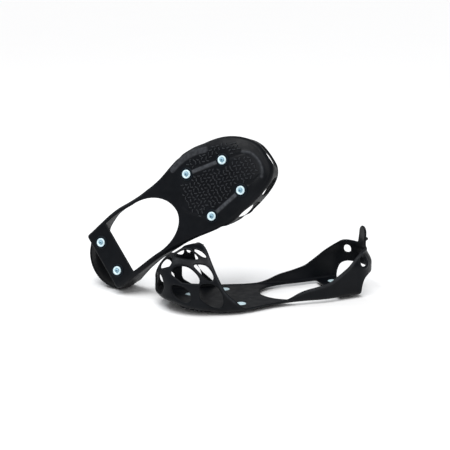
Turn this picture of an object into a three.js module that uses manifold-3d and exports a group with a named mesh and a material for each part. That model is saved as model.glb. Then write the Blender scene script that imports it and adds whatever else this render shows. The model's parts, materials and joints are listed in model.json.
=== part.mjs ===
// A pair of rubber overshoe ice cleats with steel studs. Millimetres, +Z up.
// Each cleat is drawn at the stretched size that it has on a work boot, in its own frame:
// x runs from the back of the boot's heel to its toe, y towards the outer side of the foot,
// and z up from the underside of the boot's sole. The left cleat stands on its studs with its
// toe towards -X. The right cleat is the mirror image, tipped on its side behind the left toe.
import * as THREE from 'three';
import { mergeVertices } from 'three/addons/utils/BufferGeometryUtils.js';
import Module from 'manifold-3d';

const wasm = await Module();
wasm.setup();

// ---- driving dimensions --------------------------------------------------------------------
const LENGTH = 314;            // toe tip of the boot
const HEEL_BACK = -1;          // back of the boot's heel
const TOE_AXIS = 250;          // where the round toe starts
const HEEL_AXIS = 34;          // where the round heel starts
const TOE_SHIFT = -8;          // how far the toe tip lies towards the inner side
const TOE_ROUNDNESS = 2.6;     // superellipse exponent of the toe
const TOE_TAPER = 0.16;        // how fast the toe narrows
const WALL_TOP = 33;           // height of the upright side wall
const CORNER = 5;              // radius between sole and wall
const SPRING = 13;             // lift of the toe tip
const SPRING_LENGTH = 60;
const EDGE_LIFT = 3;           // how far the sole's edge curls up round the toe
const EDGE_LIFT_START = [240, 266];
const EDGE_LIFT_END = [300, 316];
const CROWN = 78;              // height of the toe box
const INSTEP_SLOPE = 0.3;      // rise of the boot behind the toe box
const INSTEP_LENGTH = 80;
const TOE_BOX_START = [120, 190];
const CROWN_ROUNDNESS = 2.2;
const HEEL_TOP = 112;
const HEEL_LEAN = 8;           // how far the heel leans in above the cup
const LEAN_HEIGHTS = [38, 58];
// x, half width
const OUTER_WIDTHS = [
  [34, 43.5], [70, 48.5], [90, 49.3], [112, 47.3], [135, 46.8], [165, 50], [205, 58.8], [232, 58.3],
  [250, 54.5], [262, 52.5],
];
const INNER_WIDTHS = [
  [34, 43], [70, 41.5], [112, 40], [165, 47.5], [205, 55], [230, 56], [250, 52.5], [262, 51],
];

const WALL = 3;                // rubber thickness of net, arms and cup
const SOLE = 3.6;              // rubber thickness under the boot
const GAP = 0.3;               // between pieces that touch
const NET_FOOT = 1;            // height where net and sole meet
const NET_START = 212;         // rear end of the net along the sole
const WAIST = 150;             // where the arms leave the forefoot sole
const BAND_FRONT = 62;         // front edge of the strap under the heel
const OPENING_FRONT = 165;     // front end of the opening under the arch
const OPENING_ROUND = 53;      // length of its round end
const OPENING_INSET = 4;       // width left of the arms' lower edge
const CUP_TOP = 60;            // top edge of the heel cup at the back

const STUDS = [[262, 25.3], [206.5, 35.3], [41.3, 24]];   // x, distance from the centre line
const STUD_BEND = [150, 310, -6];                         // the centre line bends inwards
const FLANGE_RADIUS = 7;
const SHANK_RADIUS = 3;
const BORE_RADIUS = SHANK_RADIUS + GAP;
const BOSS_RADIUS = 8.5;
const BOSS_HEIGHT = 0.8;
const FLANGE_FACES = [-1.6, -0.4];
const POCKET_FLOOR = -1.9;
const DISC_RADIUS = 6.2;
const DISC_FACE_RADIUS = 4.4;
const DISC_THICKNESS = 1.5;
const TIP_RADIUS = 2.4;
const TIP_END_RADIUS = 1.2;
const TIP_TAPER = 1.1;
const TIP_LENGTH = 2.2;
const STUD_DEPTH = 7.6;        // from the boot's sole to the end of a spike

// the right cleat: turned about Z, then raised at the toe, then rolled on its side
const RIGHT_HEADING = -29.5;
const RIGHT_RISE = 36.5;
const RIGHT_ROLL = -106.6;
const RIGHT_PLACE = [-235.9, 112.9, 22.3];
const LEFT_BACK = 155;         // world x of the left cleat's x = 0

const rubber = new THREE.MeshStandardMaterial({ color: 0x1c2022, roughness: 0.62, metalness: 0 });
const steel = new THREE.MeshStandardMaterial({ color: 0xb4c6cc, roughness: 0.3, metalness: 1 });
const carbide = new THREE.MeshStandardMaterial({ color: 0x6f8b9c, roughness: 0.4, metalness: 1 });

// ---- small helpers -------------------------------------------------------------------------
const clamp01 = (v) => Math.min(1, Math.max(0, v));
const blend = (a, b, t) => a + (b - a) * t;

function smooth(start, end, x) {
  const t = clamp01((x - start) / (end - start));
  return t * t * (3 - 2 * t);
}

// a smooth curve through [x, value] stations
function through(stations, x) {
  const last = stations.length - 2;
  let i = 0;
  while (i < last && x > stations[i + 1][0]) i += 1;
  const slope = (k) => {
    const a = stations[Math.max(0, k - 1)];
    const b = stations[Math.min(stations.length - 1, k + 1)];
    return (b[1] - a[1]) / (b[0] - a[0]);
  };
  const [x0, y0] = stations[i];
  const [x1, y1] = stations[i + 1];
  const h = x1 - x0;
  const t = clamp01((x - x0) / h);
  const rise = t * t * (3 - 2 * t);
  return y0 + (y1 - y0) * rise + h * slope(i) * t * (1 - t) ** 2 - h * slope(i + 1) * t * t * (1 - t);
}

// ---- the boot's surface, which the rubber is stretched over --------------------------------
const halfWidth = (x, side) => through(side > 0 ? OUTER_WIDTHS : INNER_WIDTHS, x);
const toeSpring = (x) => SPRING * clamp01((x - LENGTH + SPRING_LENGTH) / SPRING_LENGTH) ** 2;
const edgeLift = (x) => EDGE_LIFT * smooth(...EDGE_LIFT_START, x) * (1 - smooth(...EDGE_LIFT_END, x));
const centreShift = (x) => STUD_BEND[2] * smooth(STUD_BEND[0], STUD_BEND[1], x);

function toeStation(angle, side) {
  const power = 2 / TOE_ROUNDNESS;
  const x = TOE_AXIS + (LENGTH - TOE_AXIS) * Math.cos(angle) ** power;
  const width = halfWidth(TOE_AXIS, side) - TOE_TAPER * (x - TOE_AXIS);
  const y = side * width * Math.sin(angle) ** power + TOE_SHIFT * Math.cos(angle) ** 2;
  return { x, y, axis: TOE_AXIS };
}

function heelStation(angle, side) {
  const x = HEEL_AXIS - (HEEL_AXIS - HEEL_BACK) * Math.sin(angle);
  return { x, y: side * halfWidth(HEEL_AXIS, side) * Math.cos(angle), axis: HEEL_AXIS };
}

// stations from the toe tip along one side to the back of the heel
function sideStations(side, toeSteps, midSteps, heelSteps) {
  const stations = [];
  for (let i = 0; i <= toeSteps; i += 1) stations.push(toeStation((i / toeSteps) * Math.PI / 2, side));
  for (let i = 1; i < midSteps; i += 1) {
    const x = blend(TOE_AXIS, HEEL_AXIS, i / midSteps);
    stations.push({ x, y: side * halfWidth(x, side), axis: x });
  }
  for (let i = 0; i <= heelSteps; i += 1) stations.push(heelStation((i / heelSteps) * Math.PI / 2, side));
  return stations;
}

// the levels of a section: sole 0 to 1, corner 1 to 1.25, wall to 2, upper 2 to 3
const FLAT_LEVEL = 0.8;        // the sole is flat inside this level
const WALL_LEVEL = 1.25;
const TOP_LEVEL = 0.8;         // share of the upper at which the heel turns over
const LEVELS = [0, FLAT_LEVEL, 1, 1.12, WALL_LEVEL, 2, 2.12, 2.28, 2.45, 2.62, 2.8, 3];

function bootPoint(station, level, grow, drop) {
  const dx = station.x - station.axis;
  const reach = Math.hypot(dx, station.y);
  const ux = dx / reach;
  const uy = station.y / reach;
  const full = reach + grow;
  const turn = clamp01((level - 1) / (WALL_LEVEL - 1)) * Math.PI / 2;
  let radius = clamp01(level) * (full - CORNER) + CORNER * Math.sin(turn);
  const upper = clamp01(level - 2);
  let rise = 0;
  if (upper > 0) {
    const toe = smooth(...TOE_BOX_START, station.axis);
    const phi = upper * Math.PI / 2;
    const instep = INSTEP_SLOPE * Math.min(INSTEP_LENGTH, Math.max(0, TOE_AXIS - station.axis));
    const crown = CROWN + instep - WALL_TOP + grow;
    const heelRise = Math.min(1, upper / TOP_LEVEL) * (HEEL_TOP - WALL_TOP);
    const lean = HEEL_LEAN * smooth(...LEAN_HEIGHTS, WALL_TOP + heelRise);
    const closing = upper > TOP_LEVEL ? (1 - upper) / (1 - TOP_LEVEL) : 1;
    radius = blend((full - lean) * closing, full * Math.cos(phi) ** (2 / CROWN_ROUNDNESS), toe);
    rise = blend(heelRise, crown * Math.sin(phi) ** 1.2, toe);
  }
  const x = station.axis + ux * radius;
  const lift = toeSpring(x) + edgeLift(x) * clamp01((level - FLAT_LEVEL) / (1 - FLAT_LEVEL));
  const foot = -drop + CORNER * (1 - Math.cos(turn)) + lift;
  const wall = clamp01((level - WALL_LEVEL) / (2 - WALL_LEVEL));
  const z = upper > 0 ? WALL_TOP + rise : blend(foot, WALL_TOP, wall);
  return [x, uy * radius, z];
}

// ---- solids --------------------------------------------------------------------------------
function solidFrom(geometry) {
  const bare = geometry.clone();
  bare.deleteAttribute('normal');
  bare.deleteAttribute('uv');
  const merged = mergeVertices(bare, 1e-4);
  const index = merged.index.array;
  const kept = [];
  for (let i = 0; i < index.length; i += 3) {
    const [a, b, c] = [index[i], index[i + 1], index[i + 2]];
    if (a !== b && b !== c && a !== c) kept.push(a, b, c);
  }
  const vertProperties = merged.attributes.position.array;
  return new wasm.Manifold(new wasm.Mesh({ numProp: 3, vertProperties, triVerts: new Uint32Array(kept) }));
}

function geometryFrom(solid, mirrored) {
  const mesh = solid.getMesh();
  const positions = new Float32Array(mesh.vertProperties);
  const index = Array.from(mesh.triVerts);
  if (mirrored) {
    for (let i = 1; i < positions.length; i += 3) positions[i] *= -1;
    for (let i = 0; i < index.length; i += 3) [index[i], index[i + 1]] = [index[i + 1], index[i]];
  }
  const geometry = new THREE.BufferGeometry();
  geometry.setAttribute('position', new THREE.BufferAttribute(positions, 3));
  geometry.setIndex(index);
  geometry.computeVertexNormals();
  return geometry;
}

// steps round the toe, along the side and round the heel
const RING_STEPS = [9, 12, 6];
const OUTLINE_STEPS = [80, 120, 60];

// the closed boot shape, grown sideways and downwards
function bootSolid(grow, drop) {
  const outer = sideStations(1, ...RING_STEPS);
  const inner = sideStations(-1, ...RING_STEPS).reverse();
  const ring = [...outer, ...inner.slice(1, -1)];
  const positions = [];
  for (const station of ring) {
    for (const level of LEVELS) positions.push(...bootPoint(station, level, grow, drop));
  }
  const rows = LEVELS.length;
  const index = [];
  for (let i = 0; i < ring.length; i += 1) {
    const next = (i + 1) % ring.length;
    for (let j = 0; j < rows - 1; j += 1) {
      const [a, b] = [i * rows + j, next * rows + j];
      index.push(a, b, a + 1, b, b + 1, a + 1);
    }
  }
  const geometry = new THREE.BufferGeometry();
  geometry.setAttribute('position', new THREE.Float32BufferAttribute(positions, 3));
  geometry.setIndex(index);
  return solidFrom(geometry);
}

// a closed outline with round corners
function roundedShape(points, round) {
  const corners = points.map(([x, y]) => new THREE.Vector2(x, y));
  const shape = new THREE.Shape();
  corners.forEach((corner, i) => {
    const before = corners[(i + corners.length - 1) % corners.length];
    const after = corners[(i + 1) % corners.length];
    const cut = Math.min(round, corner.distanceTo(before) / 2, corner.distanceTo(after) / 2);
    const start = corner.clone().lerp(before, cut / corner.distanceTo(before));
    const end = corner.clone().lerp(after, cut / corner.distanceTo(after));
    if (i === 0) shape.moveTo(start.x, start.y);
    else shape.lineTo(start.x, start.y);
    shape.quadraticCurveTo(corner.x, corner.y, end.x, end.y);
  });
  shape.closePath();
  return shape;
}

const straightShape = (points) => new THREE.Shape(points.map(([x, y]) => new THREE.Vector2(x, y)));

function extruded(shape, depth, matrix, segments = 2) {
  const geometry = new THREE.ExtrudeGeometry(shape, { depth, bevelEnabled: false, curveSegments: segments });
  return solidFrom(geometry.applyMatrix4(matrix));
}

const CUT_WIDTH = 200;         // wider than a cleat
const WALL_CUT_DEPTH = 24;

// a side-view outline (x, z), cut right through the width
function sideCutter(points) {
  const matrix = new THREE.Matrix4().makeBasis(
    new THREE.Vector3(1, 0, 0), new THREE.Vector3(0, 0, 1), new THREE.Vector3(0, -1, 0));
  matrix.setPosition(0, CUT_WIDTH / 2, 0);
  return extruded(straightShape(points), CUT_WIDTH, matrix);
}

// a plan outline (x, y), cut from one height to another
function planCutter(shape, low, high) {
  return extruded(shape, high - low, new THREE.Matrix4().setPosition(0, 0, low));
}

// a window through a wall: outline across the wall and up, about a station of the boot's outline
function wallCutter(points, round, station, tangent) {
  const along = new THREE.Vector3(tangent[0], tangent[1], 0).normalize();
  const up = new THREE.Vector3(0, 0, 1);
  const out = new THREE.Vector3().crossVectors(along, up);
  const matrix = new THREE.Matrix4().makeBasis(along, up, out);
  const half = WALL_CUT_DEPTH / 2;
  matrix.setPosition(station[0] - out.x * half, station[1] - out.y * half, 0);
  return extruded(roundedShape(points, round), WALL_CUT_DEPTH, matrix, 2);
}

function cylinder(radius, low, high, x, y) {
  const geometry = new THREE.CylinderGeometry(radius, radius, high - low, 12);
  geometry.rotateX(Math.PI / 2).translate(x, y, (low + high) / 2);
  return solidFrom(geometry);
}

// ---- the boot's outline by distance from the toe tip ----------------------------------------
function outlineTable(side) {
  const stations = sideStations(side, ...OUTLINE_STEPS);
  let run = 0;
  return stations.map((s, i) => {
    if (i > 0) run += Math.hypot(s.x - stations[i - 1].x, s.y - stations[i - 1].y);
    return { run, x: s.x, y: s.y };
  });
}
const OUTLINE = { 1: outlineTable(1), '-1': outlineTable(-1) };

function outlineAt(distance) {
  const side = distance < 0 ? -1 : 1;
  const table = OUTLINE[side];
  const i = Math.max(1, table.findIndex((s) => s.run > Math.abs(distance)));
  const [a, b] = [table[i - 1], table[i]];
  const t = (Math.abs(distance) - a.run) / (b.run - a.run);
  const tangent = [(b.x - a.x) * side, (b.y - a.y) * side];
  return { point: [blend(a.x, b.x, t), blend(a.y, b.y, t)], tangent };
}

// ---- openings of the toe net -----------------------------------------------------------------
// low windows in the toe's wall: [distance of the centre from the toe tip, [across, height]...]
const NET_CENTRE = 3;
const FRONT_WINDOW = [
  [-10, 15.5], [10, 15.5], [18.5, 24], [18.5, 34], [10, 42], [-10, 42], [-18.5, 34], [-18.5, 24],
];
const SIDE_WINDOW = [[-14.5, 35], [3, 35], [13.5, 26], [13.5, 13], [7, 12], [-8, 18], [-14.5, 25]];
const BALL_WINDOW = [[-16, 39], [3, 39], [13, 28], [17, 13], [13.5, 4], [2, 5], [-16, 18]];
const SIDE_WINDOW_AT = 47.5;
const BALL_WINDOW_AT = 89;
// windows over the toes, in plan: x, distance from the middle of the net
const NET_MIDDLE = -6;
const TOP_FRONT = [
  [297, 10], [301, 17], [306, 14.5], [310, 8], [310, -8], [306, -14.5], [301, -17], [297, -10],
];
const TOP_PAIRS = [
  [[304.5, 24], [298, 24.5], [284, 38], [270, 56], [279, 55], [292, 46], [302, 32]],
  [[278, 39], [259, 47.5], [251, 60], [262, 58], [271, 50]],
  [[292.5, 2.5], [279.5, 2.5], [273, 14], [266.5, 38], [277.5, 32], [287, 23], [292, 13]],
  [[268.5, 13], [262.5, 20.5], [258, 30], [256, 39], [262, 35.5], [266, 28], [268.8, 20]],
];
const WINDOW_ROUND = 6;
const TOP_WINDOW_HEIGHTS = [39, 110];

function netWindows() {
  const cutters = [];
  const wall = (points, at) => {
    const { point, tangent } = outlineAt(at);
    cutters.push(wallCutter(points, WINDOW_ROUND, point, tangent));
  };
  const flip = (points) => points.map(([a, b]) => [-a, b]).reverse();
  wall(FRONT_WINDOW, NET_CENTRE);
  wall(SIDE_WINDOW, NET_CENTRE + SIDE_WINDOW_AT);
  wall(BALL_WINDOW, NET_CENTRE + BALL_WINDOW_AT);
  wall(flip(SIDE_WINDOW), NET_CENTRE - SIDE_WINDOW_AT);
  wall(flip(BALL_WINDOW), NET_CENTRE - BALL_WINDOW_AT);
  const top = (points, side) => {
    const placed = points.map(([x, y]) => [x, NET_MIDDLE + side * y]);
    cutters.push(planCutter(roundedShape(placed, WINDOW_ROUND), ...TOP_WINDOW_HEIGHTS));
  };
  top(TOP_FRONT, 1);
  for (const points of TOP_PAIRS) {
    top(points, 1);
    top(points, -1);
  }
  return cutters;
}

// ---- the rubber overshoe ----------------------------------------------------------------------
const FLOOR = -20;             // below everything
const FRONT = LENGTH + 20;     // ahead of everything
const REAR = -20;              // behind everything
const LINE_STEPS = 16;
// rear edge of the toe net, and top edges of the arms and the heel cup, all in side view
const NET_EDGE = [[236, 25], [242.5, 36], [248, 50], [251, 62], [252, 72], [250, 90]];
const SOLE_EDGE = 0.6;
const ARM_EDGE = [
  [BAND_FRONT + GAP / 2, 32.5], [70, 27.5], [80, 22], [98, 17.5], [120, 12.5], [138, 5],
  [WAIST - GAP / 2, 1.6],
];
const CUP_EDGE = [[50, 40.5], [37, 49.5], [30, 54.5], [24, 58.5], [17, CUP_TOP]];
// round hole in each side of the heel cup: distance from the toe tip, outline
const EAR_HOLE_AT = 328;
const EAR_HOLE = [[-5.5, 38.5], [5.5, 38.5], [5.5, 51.5], [-5.5, 51.5]];
const EAR_HOLE_ROUND = 5.5;
const CUP_FOOT = [[27, FLOOR], [26.5, 0], [25, 10], [22, 20], [14, 24.5], [REAR, 24.5]];
const CUP_FRONT_TOP = 32.8;

// a line that follows the lift of the toe
function springLine(from, height) {
  const points = [];
  for (let i = 0; i <= LINE_STEPS; i += 1) {
    const x = blend(from, FRONT, i / LINE_STEPS);
    points.push([x, height + toeSpring(x) + edgeLift(x)]);
  }
  return points;
}

// the opening under the arch, with a round front end
const SIDE_POINTS = 6;
const ROUND_POINTS = 12;
const OPENING_CUT_TOP = 0.2;

function openingCutter() {
  const points = [];
  const roundStart = OPENING_FRONT - OPENING_ROUND;
  for (const side of [1, -1]) {
    const half = [];
    for (let i = 0; i <= SIDE_POINTS; i += 1) {
      const x = blend(BAND_FRONT - GAP / 2, roundStart, i / SIDE_POINTS);
      half.push([x, side * (halfWidth(x, side) - OPENING_INSET)]);
    }
    const width = halfWidth(roundStart, side) - OPENING_INSET;
    for (let i = 1; i < ROUND_POINTS; i += 1) {
      const angle = (i / ROUND_POINTS) * Math.PI / 2;
      half.push([roundStart + OPENING_ROUND * Math.sin(angle), side * width * Math.cos(angle)]);
    }
    if (side > 0) points.push(...half, [OPENING_FRONT, 0]);
    else points.push(...half.reverse());
  }
  return planCutter(straightShape(points), FLOOR, OPENING_CUT_TOP);
}

// stud centres in the cleat's frame
function studPlaces() {
  const places = [];
  STUDS.forEach(([x, y], row) => {
    for (const side of [1, -1]) {
      const name = ['front', 'middle', 'heel'][row] + (side > 0 ? '_outer' : '_inner');
      places.push({ name, x, y: side * y + centreShift(x), heel: x < BAND_FRONT });
    }
  });
  return places;
}

// a boss around each stud, with a bore and a pocket for the flange
function withStudSeats(rubberPlate, places) {
  let plate = rubberPlate;
  for (const { x, y } of places) {
    plate = plate.add(cylinder(BOSS_RADIUS, -SOLE - BOSS_HEIGHT, -SOLE / 2, x, y));
  }
  for (const { x, y } of places) {
    plate = plate.subtract(cylinder(BORE_RADIUS, FLOOR, CORNER, x, y));
    plate = plate.subtract(cylinder(FLANGE_RADIUS + GAP, POCKET_FLOOR, CORNER, x, y));
  }
  return plate;
}

function rubberParts() {
  const shell = bootSolid(WALL, SOLE).subtract(bootSolid(0, 0));
  const opening = openingCutter();
  const studs = studPlaces();

  const netLow = springLine(NET_START, NET_FOOT + GAP);
  let net = shell.intersect(sideCutter([...netLow, [FRONT, 120], ...NET_EDGE.slice().reverse()]));
  for (const cutter of netWindows()) net = net.subtract(cutter);

  const soleRear = WAIST + GAP / 2;
  const soleTop = [[soleRear, SOLE_EDGE], [NET_START - 8, SOLE_EDGE], ...springLine(NET_START - 2, NET_FOOT)];
  const soleCutter = sideCutter([[soleRear, FLOOR], [FRONT, FLOOR], ...soleTop.reverse()]);
  const plate = shell.intersect(soleCutter).subtract(opening);
  const forefoot = withStudSeats(plate, studs.filter((s) => !s.heel));

  const armEnds = [ARM_EDGE[0][0], ARM_EDGE[ARM_EDGE.length - 1][0]];
  const armCutter = sideCutter([[armEnds[0], FLOOR], [armEnds[1], FLOOR], ...ARM_EDGE.slice().reverse()]);
  const arms = shell.intersect(armCutter).subtract(opening).decompose();

  const cupFront = BAND_FRONT - GAP / 2;
  const cupTop = [[REAR, CUP_TOP], ...CUP_EDGE.slice().reverse(), [cupFront, CUP_FRONT_TOP]];
  let cup = shell.intersect(sideCutter([...CUP_FOOT, ...cupTop, [cupFront, FLOOR]].reverse()));
  for (const side of [1, -1]) {
    const { point, tangent } = outlineAt(side * EAR_HOLE_AT);
    cup = cup.subtract(wallCutter(EAR_HOLE, EAR_HOLE_ROUND, point, tangent));
  }
  cup = withStudSeats(cup, studs.filter((s) => s.heel));
  return { net, forefoot, arms, cup };
}

// pull tab: side view (x, z) with a grip bar, and a round top in rear view
const TAB_HALF_WIDTH = 11;
const TAB_TOP = 87;
const TAB_FACE = HEEL_BACK + HEEL_LEAN;
const TAB_BACK = TAB_FACE - WALL;
const GRIP = [[0, 64], [-3, 66.5], [-4, 69], [-3, 71.5], [0, 74]];

function pullTab() {
  const grip = GRIP.map(([out, z]) => [TAB_BACK + out, z]);
  const root = CUP_TOP + GAP;
  const side = sideCutter([
    [TAB_BACK, root], ...grip, [TAB_BACK + 0.8, TAB_TOP], [TAB_FACE, TAB_TOP], [TAB_FACE, root],
  ]);
  const matrix = new THREE.Matrix4().makeBasis(
    new THREE.Vector3(0, 1, 0), new THREE.Vector3(0, 0, 1), new THREE.Vector3(1, 0, 0));
  matrix.setPosition(REAR, 0, 0);
  const radius = TAB_HALF_WIDTH - 1;
  const face = new THREE.Shape();
  face.moveTo(-TAB_HALF_WIDTH, WALL_TOP);
  face.lineTo(TAB_HALF_WIDTH, WALL_TOP);
  face.lineTo(radius, TAB_TOP - 8);
  face.absarc(0, TAB_TOP - 8, radius, 0, Math.PI, false);
  face.closePath();
  return side.intersect(extruded(face, 60, matrix, 8));
}

// ---- the steel stud -------------------------------------------------------------------------
// profiles are radius, height
function lathed(profile, segments) {
  const points = profile.map(([r, z]) => new THREE.Vector2(r, z));
  return solidFrom(new THREE.LatheGeometry(points, segments).rotateX(Math.PI / 2));
}

const SHANK_END = TIP_LENGTH - STUD_DEPTH;

function studBase() {
  const [low, high] = FLANGE_FACES;
  return lathed([
    [0, SHANK_END], [SHANK_RADIUS - 0.4, SHANK_END], [SHANK_RADIUS, SHANK_END + 0.4],
    [SHANK_RADIUS, low], [FLANGE_RADIUS, low], [FLANGE_RADIUS, high], [0, high],
  ], 10);
}

function studDisc() {
  const top = -SOLE - BOSS_HEIGHT - GAP;
  const low = top - DISC_THICKNESS;
  return lathed([
    [BORE_RADIUS, low + 0.5], [DISC_FACE_RADIUS, low], [DISC_RADIUS - 0.6, low], [DISC_RADIUS, low + 0.6],
    [DISC_RADIUS, top], [BORE_RADIUS, top], [BORE_RADIUS, low + 0.5],
  ], 12);
}

function spikeTip() {
  const top = SHANK_END - GAP;
  return lathed([
    [0, -STUD_DEPTH], [TIP_END_RADIUS, -STUD_DEPTH], [TIP_RADIUS, -STUD_DEPTH + TIP_TAPER],
    [TIP_RADIUS, top], [0, top],
  ], 8);
}

// ---- assembly ---------------------------------------------------------------------------------
const parts = rubberParts();
const tab = pullTab();
const [armA, armB] = parts.arms;
const outerFirst = armA.boundingBox().max[1] > 10;
const stud = { base: studBase(), disc: studDisc(), tip: spikeTip() };

function cleat(foot, mirrored) {
  const group = new THREE.Group();
  const add = (name, solid, material) => {
    const mesh = new THREE.Mesh(geometryFrom(solid, mirrored), material);
    mesh.name = `${foot}_${name}`;
    group.add(mesh);
    return mesh;
  };
  add('toe_net', parts.net, rubber);
  add('forefoot_sole', parts.forefoot, rubber);
  add('arm_outer', outerFirst ? armA : armB, rubber);
  add('arm_inner', outerFirst ? armB : armA, rubber);
  add('heel_cup', parts.cup, rubber);
  add('heel_tab', tab, rubber);
  for (const { name, x, y } of studPlaces()) {
    const place = [x, mirrored ? -y : y, 0];
    add(`stud_base_${name}`, stud.base, steel).position.set(...place);
    add(`stud_disc_${name}`, stud.disc, steel).position.set(...place);
    add(`spike_tip_${name}`, stud.tip, carbide).position.set(...place);
  }
  return group;
}

const left = cleat('left', false);
left.rotation.z = Math.PI;
left.position.x = LEFT_BACK;

const right = cleat('right', true);
const degrees = Math.PI / 180;
right.rotation.order = 'ZYX';
right.rotation.set(RIGHT_ROLL * degrees, -RIGHT_RISE * degrees, RIGHT_HEADING * degrees);
right.position.set(...RIGHT_PLACE);

// the origin is the middle of the pair's footprint, on the ground
const pair = new THREE.Group();
pair.add(left, right);
pair.updateMatrixWorld(true);
const box = new THREE.Box3().setFromObject(pair, true);
const middle = box.getCenter(new THREE.Vector3());
pair.position.set(-middle.x, -middle.y, -box.min.z);
pair.updateMatrixWorld(true);

export default pair;
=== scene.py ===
# A pair of rubber overshoe ice cleats with steel studs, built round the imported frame.
# Shapes are drawn in millimetres in each cleat's own frame and placed in metres in the row frame:
# x runs from the heel to the toe, y to the outer side of the foot, z up from the boot's sole.
import json
import math
import random
import bpy
import numpy as np
from mathutils import Matrix, Vector, kdtree


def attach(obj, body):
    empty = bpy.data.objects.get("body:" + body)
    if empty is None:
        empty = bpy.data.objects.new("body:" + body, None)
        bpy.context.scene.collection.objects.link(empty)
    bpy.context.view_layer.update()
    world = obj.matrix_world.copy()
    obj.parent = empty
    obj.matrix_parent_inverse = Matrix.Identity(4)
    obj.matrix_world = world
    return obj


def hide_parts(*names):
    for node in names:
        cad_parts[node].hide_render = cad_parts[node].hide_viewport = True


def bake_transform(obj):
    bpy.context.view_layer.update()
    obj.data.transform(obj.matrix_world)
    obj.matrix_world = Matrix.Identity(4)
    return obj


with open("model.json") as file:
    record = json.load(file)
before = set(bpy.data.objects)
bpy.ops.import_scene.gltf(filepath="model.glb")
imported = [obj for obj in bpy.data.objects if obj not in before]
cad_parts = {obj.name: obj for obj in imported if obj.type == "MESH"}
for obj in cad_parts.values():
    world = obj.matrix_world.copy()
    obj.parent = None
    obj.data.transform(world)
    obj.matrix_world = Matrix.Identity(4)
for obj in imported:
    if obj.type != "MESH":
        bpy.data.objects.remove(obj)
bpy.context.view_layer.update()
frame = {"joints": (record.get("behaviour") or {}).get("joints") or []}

MM = 0.001

# ---- driving dimensions, in millimetres -------------------------------------------------------
LENGTH = 314
HEEL_BACK = -1
TOE_AXIS = 250                 # the toe is turned round this place, the heel round the next
HEEL_AXIS = 34
TOE_SHIFT = -8                 # y of the toe's tip, which lies to the inner side
TOE_ROUNDNESS = 2.6
TOE_TAPER = 0.16
WALL_TOP = 33
CORNER = 5                     # radius between the sole and the wall
SPRING = 13                    # rise of the toe's tip off the ground
SPRING_LENGTH = 60
EDGE_LIFT = 3                  # and of the sole's edge round the toe
EDGE_LIFT_START = (240, 266)
EDGE_LIFT_END = (300, 316)
EDGE_CURL = 1.5
FLAT_LEVEL = 0.8               # share of the sole's width that this leaves flat
CROWN = 78                     # height of the toe box, with the instep rising behind it
CROWN_ROUNDNESS = 2.2
CROWN_POWER = 1.2
INSTEP_RISE = 0.3
INSTEP_LENGTH = 80
TOE_BOX_START = (120, 190)
HEEL_TOP = 112
HEEL_SHOULDER = 0.8            # share of the upper levels that climb the heel
HEEL_CLOSE = 0.2               # and of those that close it
HEEL_LEAN = 8
LEAN_HEIGHTS = (38, 58)
OUTER_WIDTHS = [(34, 43.5), (70, 48.5), (90, 49.3), (112, 47.3), (135, 46.8), (165, 50),
                (205, 58.8), (232, 58.3), (250, 54.5), (262, 52.5)]
INNER_WIDTHS = [(34, 43), (70, 41.5), (112, 40), (165, 47.5), (205, 55), (230, 56),
                (250, 52.5), (262, 51)]

MID_WALL = 1.5                 # the middle of the rubber, out from the boot's side
MID_SOLE = 1.8                 # and down from its sole
SOLE_HALF = 1.8                # half the rubber's thickness
WALL_HALF = 1.5
EDGE_ROUND = 2.6               # how far from a free edge the rubber reaches its thickness
CUP_TOP = 60
BAND_FRONT = 62
OPENING_FRONT = 165
OPENING_ROUND = 53
OPENING_INSET = 4
WAIST = 150

STUDS = {"front": (262, 25.3), "middle": (206.5, 35.3), "heel": (41.3, 24)}
STUD_BEND = (150, 310)         # between these the line midway between the studs bends inward
STUD_SHIFT = -6
SEAT_HOLE = 6.9
TAB_HINGE = (4, 60.15)
WAIST_HEIGHT = 0.6
FEET = ("left", "right")

STEP = 1.2                     # spacing of the surface grid
SOLE_STEP = 0.9
CORNER_STEPS = 8
CORNER_LEVEL = 1.25            # levels: sole to 1, its corner to here, wall to 2, upper to 3
SOLE_RUN = 52                  # lengths that the steps divide
WALL_RUN = 30
UPPER_RUN = 96
TOE_RUN = 98
HEEL_RUN = 60
SHEET_WELD = 0.12
EDGE_ROWS = (0.3, 1.1, 2.4)    # rows of points this far from a free edge
FAR = 1e3


# ---- small helpers ----------------------------------------------------------------------------
def smooth(start, end, x):
    t = np.clip((x - start) / (end - start), 0, 1)
    return t * t * (3 - 2 * t)


def through(stations, x):
    """A smooth curve through (x, value) stations."""
    xs, ys = (np.array(v, float) for v in zip(*stations))
    slopes = np.empty(len(xs))
    slopes[1:-1] = (ys[2:] - ys[:-2]) / (xs[2:] - xs[:-2])
    slopes[0] = (ys[1] - ys[0]) / (xs[1] - xs[0])
    slopes[-1] = (ys[-1] - ys[-2]) / (xs[-1] - xs[-2])
    i = np.clip(np.searchsorted(xs, x, side="right") - 1, 0, len(xs) - 2)
    h = xs[i + 1] - xs[i]
    t = np.clip((x - xs[i]) / h, 0, 1)
    rise = t * t * (3 - 2 * t)
    bend = h * slopes[i] * t * (1 - t) ** 2 - h * slopes[i + 1] * t * t * (1 - t)
    return ys[i] + (ys[i + 1] - ys[i]) * rise + bend


def half_width(x, side):
    return through(OUTER_WIDTHS if side > 0 else INNER_WIDTHS, x)


def toe_spring(x):
    return SPRING * np.clip((x - LENGTH + SPRING_LENGTH) / SPRING_LENGTH, 0, 1) ** 2


def edge_lift(x):
    return EDGE_LIFT * smooth(*EDGE_LIFT_START, x) * (1 - smooth(*EDGE_LIFT_END, x))


def centre_shift(x):
    return STUD_SHIFT * smooth(*STUD_BEND, x)


def stud_place(row, side):
    x, y = STUDS[row]
    return x, side * y + float(centre_shift(x))


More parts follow.
